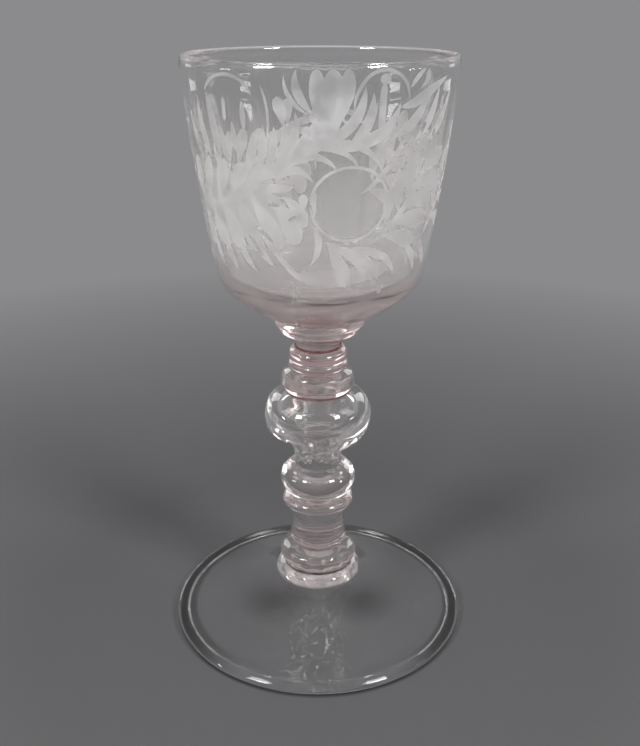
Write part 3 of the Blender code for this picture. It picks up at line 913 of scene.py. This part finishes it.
def engraved_wall(radius_at):
    """The bowl's outer wall with its foliage: vertices, faces, and each corner's cut and normal."""
    start = math.radians(BAND_START) * UNROLL_RADIUS
    turn = 2.0 * math.pi * UNROLL_RADIUS
    strokes = all_strokes(start, turn)
    flat, faces, sources = wall_triangles(strokes, start, turn)
    members = [[] for _ in strokes]
    for index, numbers in enumerate(sources):
        for number in numbers:
            members[number].append(index)

    depth = np.zeros(len(flat))
    corner_cut = np.zeros((len(faces), 3, 3))
    owner = np.full(len(faces), -1)
    for number, stroke in enumerate(strokes):
        cut_faces = np.array(members[number], int)
        if not len(cut_faces):
            continue
        corners = faces[cut_faces].ravel()
        hollow, tone, along, share = stroke.cut_at(flat[corners])
        np.maximum.at(depth, corners, hollow)
        tone = tone.reshape(-1, 3)
        if stroke.shape == "clear":
            corner_cut[cut_faces, :, 2] = 0.0
            continue
        corner_cut[cut_faces, :, 2] = np.maximum(corner_cut[cut_faces, :, 2], tone)
        if stroke.shape not in MIST_SHAPES:
            owner[cut_faces] = number
            corner_cut[cut_faces, :, 0] = along.reshape(-1, 3)
            corner_cut[cut_faces, :, 1] = share.reshape(-1, 3)

    angle = flat[:, 0] / UNROLL_RADIUS
    height = flat[:, 1] * MM
    border = (flat[:, 1] < BAND_BOTTOM / MM + WELD) | (flat[:, 1] > BAND_TOP / MM - WELD)
    border |= (flat[:, 0] < start + WELD) | (flat[:, 0] > start + turn - WELD)
    depth = np.where(border, depth, evened(depth, flat, faces))
    radius = radius_at(height) - depth * MM
    vertices = np.column_stack([radius * np.sin(angle), -radius * np.cos(angle), height])
    slope = (radius_at(height + MM) - radius_at(height - MM)) / (2.0 * MM)
    normals = np.column_stack([np.sin(angle), -np.cos(angle), -slope])
    corner_normals = normals[faces]
    first, second, third = (vertices[faces[:, index]] for index in range(3))
    face_normals = np.cross(second - first, third - first)
    sums = {}
    for index in np.nonzero(owner >= 0)[0]:
        for corner in faces[index]:
            key = (corner, owner[index])
            sums[key] = sums.get(key, 0.0) + face_normals[index]
    for index in np.nonzero(owner >= 0)[0]:
        for place, corner in enumerate(faces[index]):
            corner_normals[index, place] = sums[(corner, owner[index])]
    corner_normals /= np.linalg.norm(corner_normals, axis=2)[:, :, None]
    return vertices, faces, corner_cut, corner_normals


def bowl_mesh(node, levels):
    """The bowl: turned inside, lip and base, with the engraved wall set in between."""
    outline = melted(section(node), levels)
    lip = int(np.argmax(outline[:, 1]))
    outer = outline[lip:]
    rising = outer[::-1]

    def radius_at(height):
        return np.interp(height, rising[:, 1], rising[:, 0])

    above = [point for point in outer if point[1] > BAND_TOP + NEAR]
    below = [point for point in outer if point[1] < BAND_BOTTOM - NEAR]
    upper = np.vstack([outline[:lip], above, [(radius_at(BAND_TOP), BAND_TOP)]])
    lower = np.vstack([[(radius_at(BAND_BOTTOM), BAND_BOTTOM)], below])

    bm = bmesh.new()
    cut_layer = bm.loops.layers.float_vector.new("cut")
    normal_layer = bm.loops.layers.float_vector.new("bent")
    for part in (upper, lower):
        vertices, faces = lathe(part, WIDE_STEPS)
        made = [bm.verts.new(vertex) for vertex in vertices]
        for face in faces:
            bm.faces.new([made[corner] for corner in face])
    vertices, faces, cuts, normals = engraved_wall(radius_at)
    made = [bm.verts.new(vertex) for vertex in vertices]
    for face, cut, normal in zip(faces, cuts, normals):
        for place, loop in enumerate(bm.faces.new([made[corner] for corner in face]).loops):
            loop[cut_layer] = cut[place]
            loop[normal_layer] = normal[place]
    bmesh.ops.remove_doubles(bm, verts=bm.verts, dist=NEAR)
    bmesh.ops.delete(bm, geom=[vertex for vertex in bm.verts if not vertex.link_faces], context="VERTS")
    mesh = bpy.data.meshes.new("glass_" + node)
    bm.to_mesh(mesh)
    bm.free()
    mark_joints(mesh, levels)
    mesh.shade_smooth()
    bent = np.zeros(3 * len(mesh.loops), np.float32)
    mesh.attributes["bent"].data.foreach_get("vector", bent)
    mesh.attributes.remove(mesh.attributes["bent"])
    mesh.normals_split_custom_set(bent.reshape(-1, 3).tolist())
    return mesh


class Nodes:
    """Short way to write a node tree."""

    def __init__(self, owner):
        owner.use_nodes = True
        self.tree = owner.node_tree
        self.tree.nodes.clear()

    def add(self, kind, **settings):
        """A new node with properties set; a setting named after an input feeds or sets that input."""
        node = self.tree.nodes.new("ShaderNode" + kind)
        for name, value in settings.items():
            if hasattr(node, name):
                setattr(node, name, value)
            else:
                self.feed(node.inputs[name.replace("_", " ")], value)
        return node

    def feed(self, socket, value):
        """Link a socket to another or give it a plain value."""
        if isinstance(value, bpy.types.NodeSocket):
            self.tree.links.new(value, socket)
        else:
            socket.default_value = value

    def vector(self, operation, *values, kind="VectorMath"):
        """A vector math node, or another kind, fed in order."""
        node = self.add(kind, operation=operation)
        for socket, value in zip(node.inputs, values):
            self.feed(socket, value)
        return node

    def math(self, operation, *values):
        """Result of a math node."""
        return self.vector(operation, *values, kind="Math").outputs[0]

    def mix(self, share, first, second):
        """A colour between two."""
        return self.add("MixRGB", Fac=share, Color1=first, Color2=second).outputs[0]

    def ranged(self, value, low, high, to_low=0.0, to_high=1.0):
        """A value moved from one range to another and kept inside it."""
        node = self.add("MapRange", Value=value, From_Min=low, From_Max=high, To_Min=to_low, To_Max=to_high)
        return node.outputs["Result"]

    def noise(self, vector, scale, detail):
        """Noise at a place."""
        return self.add("TexNoise", Vector=vector, Scale=scale, Detail=detail).outputs["Fac"]

    def pattern(self, vector, scale, detail, *ranges):
        """Noise at a place, moved from one range to another."""
        return self.ranged(self.noise(vector, scale, detail), *ranges)


def foot_surface(nodes, place, roughness, white):
    """Skin, roughness and whiteness of the foot, with painted shade on its fold, scratches and wear."""
    split = nodes.add("SeparateXYZ", Vector=place).outputs
    reach = nodes.math("SQRT", nodes.math("ADD", nodes.math("POWER", split["X"], 2.0),
                                          nodes.math("POWER", split["Y"], 2.0)))
    turn = nodes.math("ARCTAN2", split["Y"], split["X"])
    around = nodes.add("CombineXYZ", X=nodes.math("MULTIPLY", turn, SCRATCHES_ROUND),
                       Y=nodes.math("MULTIPLY", reach, SCRATCHES_OUT)).outputs[0]
    scratches = nodes.pattern(around, *SCRATCHES)
    # Painted shade: the fold is greyed behind and at the sides, and the same mask roughens it
    fold_shade_mask = nodes.math("MULTIPLY", nodes.ranged(reach, *FOLD_REACH),
                        nodes.ranged(split["Y"], *FOLD_DEPTH))
    skin = nodes.mix(fold_shade_mask, FOOT_SKIN, FOLD_PAINTED_SHADE)
    roughness = nodes.math("MULTIPLY_ADD", fold_shade_mask, FOLD_ROUGHNESS, roughness)
    aside = nodes.math("ABSOLUTE", nodes.math("SUBTRACT", split["X"], WORN_MIDDLE))
    worn = nodes.math("MULTIPLY", nodes.ranged(split["Y"], *WORN_DEPTH, 1.0, 0.0),
                      nodes.ranged(aside, *WORN_WIDTH, 1.0, 0.0))
    specks = nodes.pattern(place, *WEAR)
    white = nodes.math("MULTIPLY_ADD", specks, worn, nodes.math("MAXIMUM", white, scratches))
    return skin, roughness, white


def bowl_skin(nodes, height, depth, wave):
    """Colour of the bowl's skin: pink base, clear wall, greyer top and a painted dark line low in front."""
    tinted = nodes.mix(nodes.ranged(height, *PINK_BASE), PINK_SKIN, CLEAR_SKIN)
    topped = nodes.mix(nodes.ranged(height, *CLEAR_TOP), tinted, TOP_SKIN)
    # Painted dark refraction: a broken dark line low on the front
    swayed = nodes.math("MULTIPLY_ADD", nodes.math("SUBTRACT", wave, 0.5), LOW_LINE_SWING, height)
    off_line = nodes.math("ABSOLUTE", nodes.math("SUBTRACT", swayed, LOW_LINE))
    in_painted_line = nodes.math("MULTIPLY", nodes.ranged(off_line, *LOW_LINE_WIDTH, 1.0, 0.0),
                         nodes.ranged(depth, *LOW_LINE_DEPTH, 1.0, 0.0))
    broken = nodes.ranged(wave, *LOW_LINE_BREAKS, LOW_LINE_LEAST, 1.0)
    return nodes.mix(nodes.math("MULTIPLY", in_painted_line, broken), topped, LOW_LINE_PAINTED_DARK)


def bowl_surface(nodes, place, wave, bump, roughness, white):
    """Skin, bump, roughness and whiteness of the bowl: frosted cuts, haze, lip's painted highlight."""
    split = nodes.add("SeparateXYZ", Vector=place).outputs
    cut = nodes.add("Attribute", attribute_name="cut").outputs["Vector"]
    tone = nodes.add("SeparateXYZ", Vector=cut).outputs["Z"]
    streaks = nodes.noise(nodes.vector("MULTIPLY", cut, STREAK_STRETCH).outputs[0], *STREAKS)
    grain = nodes.noise(place, *GRAIN)
    mottle = nodes.math("ADD", nodes.math("MULTIPLY", streaks, STREAK_PART),
                        nodes.math("MULTIPLY", grain, GRAIN_PART))
    frost = nodes.math("MULTIPLY", tone, nodes.ranged(mottle, *MOTTLE_SPAN, *MOTTLE_SHARE))
    matt = nodes.ranged(frost, 0.0, MATT_FROST, 0.0, FROST_ROUGHNESS)
    cloud = nodes.pattern(place, *CLOUDS)
    # Painted highlight: the back of the lip is made whiter
    lip = nodes.math("MULTIPLY", nodes.ranged(split["Z"], *LIP_HIGHLIGHT_HEIGHTS, 0.0, LIP_PAINTED_HIGHLIGHT),
                     nodes.ranged(split["Y"], *LIP_HIGHLIGHT_DEPTH))
    white = nodes.math("MULTIPLY_ADD", nodes.math("MULTIPLY", frost, cloud), FROST_WHITE,
                       nodes.math("ADD", white, lip))
    white = nodes.math("ADD", nodes.ranged(split["Z"], *HAZE_TOP, HAZE, HAZE_ABOVE), white)
    grained = nodes.add("Bump", Strength=tone, Distance=GRAIN_HEIGHT, Height=grain, Normal=bump)
    skin = bowl_skin(nodes, split["Z"], split["Y"], wave)
    return skin, grained.outputs["Normal"], nodes.math("ADD", roughness, matt), white


def glass_material(node, slot):
    """Clear glass, faintly pink in its depth, with smears, the waves of hand work, wear and frosted cuts."""
    material = bpy.data.materials.new(node + "_glass")
    nodes = Nodes(material)
    strength, milkiness = GLASSES[node]
    place = nodes.add("TexCoord").outputs["Object"]
    roughness = nodes.pattern(place, *SMEARS)
    wave = nodes.noise(place, *WAVES)
    swing = BOWL_WAVE if node == "bowl" else STEM_WAVE
    bump = nodes.add("Bump", Strength=1.0, Distance=swing, Height=wave).outputs["Normal"]
    white = nodes.pattern(place, *SPECKS)
    skin = CLEAR_SKIN
    if node == "foot":
        skin, roughness, white = foot_surface(nodes, place, roughness, white)
    elif node == "bowl":
        skin, bump, roughness, white = bowl_surface(nodes, place, wave, bump, roughness, white)
    elif slot == "pink_glass":
        skin = PINK_SKIN
        white = nodes.math("MULTIPLY_ADD", nodes.pattern(place, *MILK), milkiness, white)
    else:
        white = nodes.math("ADD", white, milkiness)

    shadow = nodes.add("LightPath").outputs["Is Shadow Ray"]
    joint = nodes.add("Attribute", attribute_name="joint").outputs["Fac"]
    opaque = nodes.math("SUBTRACT", 1.0, nodes.math("MULTIPLY", shadow, SHADOW_PASS))
    shader = nodes.add("BsdfPrincipled", IOR=GLASS_IOR, Roughness=roughness, Normal=bump, Base_Color=skin,
                       Transmission_Weight=nodes.math("SUBTRACT", 1.0, white),
                       Alpha=nodes.math("MULTIPLY", opaque, nodes.math("SUBTRACT", 1.0, joint)))
    tint = nodes.add("VolumeAbsorption", Color=TINT, Density=strength)
    nodes.add("OutputMaterial", Surface=shader.outputs[0], Volume=tint.outputs[0])
    return material


def seam_material(name, strength, colour):
    """Dark line of painted shade, broken here and there."""
    material = bpy.data.materials.new(name)
    nodes = Nodes(material)
    place = nodes.add("TexCoord").outputs["Object"]
    broken = nodes.math("MULTIPLY", nodes.pattern(place, *SEAM_BREAKS), strength)
    shader = nodes.add("BsdfPrincipled", Roughness=SEAM_ROUGHNESS, Alpha=broken, Base_Color=colour)
    nodes.add("OutputMaterial", Surface=shader.outputs[0])
    return material


def floor_material():
    """Plain matt floor with painted shade at the foot, that runs into the backdrop's tone far away."""
    material = bpy.data.materials.new("plain_floor")
    nodes = Nodes(material)
    place = nodes.add("TexCoord").outputs["Object"]
    reach = nodes.vector("LENGTH", place).outputs["Value"]
    offset = nodes.vector("SUBTRACT", place, (STEM_OFFSET, 0.0, 0.0)).outputs[0]
    around = nodes.vector("LENGTH", offset).outputs["Value"]
    mirrored = nodes.vector("ABSOLUTE", offset).outputs[0]
    # Painted shade: soft dark patches on both sides of the stem's base
    beside = nodes.vector("DISTANCE", mirrored, SHADE_PLACE).outputs["Value"]
    shaded = nodes.mix(nodes.ranged(beside, *SHADE_WIDTH), SHADE_TONE, FLOOR_NEAR)
    # Painted contact shadow: a dark ring under the foot's rim that fades out behind
    aside = nodes.math("ABSOLUTE", nodes.math("SUBTRACT", around, CONTACT_REACH))
    off_ring = nodes.ranged(aside, *CONTACT_WIDTH)
    behind = nodes.add("SeparateXYZ", Vector=place).outputs["Y"]
    faded = nodes.ranged(behind, *CONTACT_DEPTH, 0.0, CONTACT_LOSS)
    tone = nodes.mix(nodes.math("MAXIMUM", off_ring, faded), CONTACT_SHADOW_TONE, shaded)
    matt = nodes.add("BsdfDiffuse", Color=tone)
    far = nodes.add("Emission", Color=BACKDROP)
    mixed = nodes.add("MixShader", Fac=nodes.ranged(reach, *FLOOR_FADE))
    nodes.feed(mixed.inputs[1], matt.outputs[0])
    nodes.feed(mixed.inputs[2], far.outputs[0])
    nodes.add("OutputMaterial", Surface=mixed.outputs[0])
    return material


def build_floor():
    """Wide round floor just under the foot."""
    bm = bmesh.new()
    bmesh.ops.create_circle(bm, cap_ends=True, segments=FLOOR_SIDES, radius=FLOOR_RADIUS)
    mesh = bpy.data.meshes.new("floor")
    bm.to_mesh(mesh)
    bm.free()
    mesh.materials.append(floor_material())
    floor = bpy.data.objects.new("floor", mesh)
    floor.location.z = -FLOOR_DROP
    bpy.context.scene.collection.objects.link(floor)


def build_lamp(name, azimuth, elevation, distance, width, height, power):
    """A rectangular lamp that faces the goblet's middle; azimuth 0 is the camera's side."""
    light = bpy.data.lights.new(name, "AREA")
    light.shape = "RECTANGLE"
    light.size = width
    light.size_y = height
    light.energy = power
    lamp = bpy.data.objects.new(name, light)
    turn = math.radians(azimuth)
    rise = math.radians(elevation)
    away = Vector((math.sin(turn) * math.cos(rise), -math.cos(turn) * math.cos(rise), math.sin(rise)))
    lamp.location = Vector((0.0, 0.0, 0.5 * cad_box[1][2])) + away * distance
    lamp.rotation_euler = away.to_track_quat("Z", "Y").to_euler()
    lamp.visible_camera = False
    bpy.context.scene.collection.objects.link(lamp)
    return lamp


def build_light():
    """Room light that is dimmer on the camera's side, the softboxes, and panels for the stem's edges."""
    scene = bpy.context.scene
    scene.world = bpy.data.worlds.new("studio")
    nodes = Nodes(scene.world)
    direction = nodes.add("TexCoord").outputs["Generated"]
    depth = nodes.add("SeparateXYZ", Vector=direction).outputs["Y"]
    seen = nodes.add("LightPath").outputs["Is Camera Ray"]
    turned = nodes.ranged(depth, *ROOM_TURN)
    room = nodes.mix(nodes.math("MAXIMUM", seen, turned), ROOM_FRONT, BACKDROP)
    sky = nodes.add("Background", Color=room)
    nodes.add("OutputWorld", Surface=sky.outputs[0])

    for index, place in enumerate(SOFTBOXES):
        build_lamp(f"softbox_{index}", *place)
    stem = [node for node in frame["nodes"] if node not in UNEDGED]
    for name, panels, lit in (("edge_panel", EDGE_PANELS, stem), ("bowl_panel", BOWL_PANELS, ["bowl"])):
        receivers = bpy.data.collections.new(name + "_lit")
        for node in lit:
            receivers.objects.link(bpy.data.objects["glass_" + node])
        for index, (azimuth, *place) in enumerate(panels):
            for side, sign in PANEL_SIDES.items():
                lamp = build_lamp(f"{name}_{index}_{side}", sign * azimuth, *place)
                lamp.light_linking.receiver_collection = receivers


def build_camera():
    """Camera of the photograph, and how far light is followed through the glass."""
    scene = bpy.context.scene
    data = bpy.data.cameras.new("camera")
    data.sensor_width = SENSOR
    data.lens = FOCAL_PIXELS / IMAGE_HEIGHT * SENSOR
    camera = bpy.data.objects.new("camera", data)
    camera.location = (0.0, -CAMERA_DISTANCE, CAMERA_HEIGHT)
    camera.rotation_euler = (0.5 * math.pi - CAMERA_PITCH, 0.0, 0.0)
    scene.collection.objects.link(camera)
    scene.camera = camera
    scene.view_settings.view_transform = "Standard"
    for limit in ("max", "transmission", "glossy", "transparent_max"):
        setattr(scene.cycles, limit + "_bounces", LIGHT_BOUNCES)


def build_goblet():
    """All the glass, piece by piece, and the seams of painted shade between the pieces."""
    levels = joint_levels()
    makers = {"bowl": bowl_mesh, "hollow_knop": knop_mesh}
    slots = {part["node"]: part["material_slot"] for part in frame["record"]["subparts"]}
    for node in frame["nodes"]:
        mesh = makers.get(node, turned_mesh)(node, levels[node])
        show(mesh, glass_material(node, slots[node]), node)
    # Dark rings of painted shade in the grooves under the pieces
    for node, half, strength, colour in SHADED_SEAMS:
        mesh = seam_mesh(node, half * MM, levels[node])
        show(mesh, seam_material(mesh.name, strength, colour))


build_goblet()
build_floor()
build_light()
build_camera()
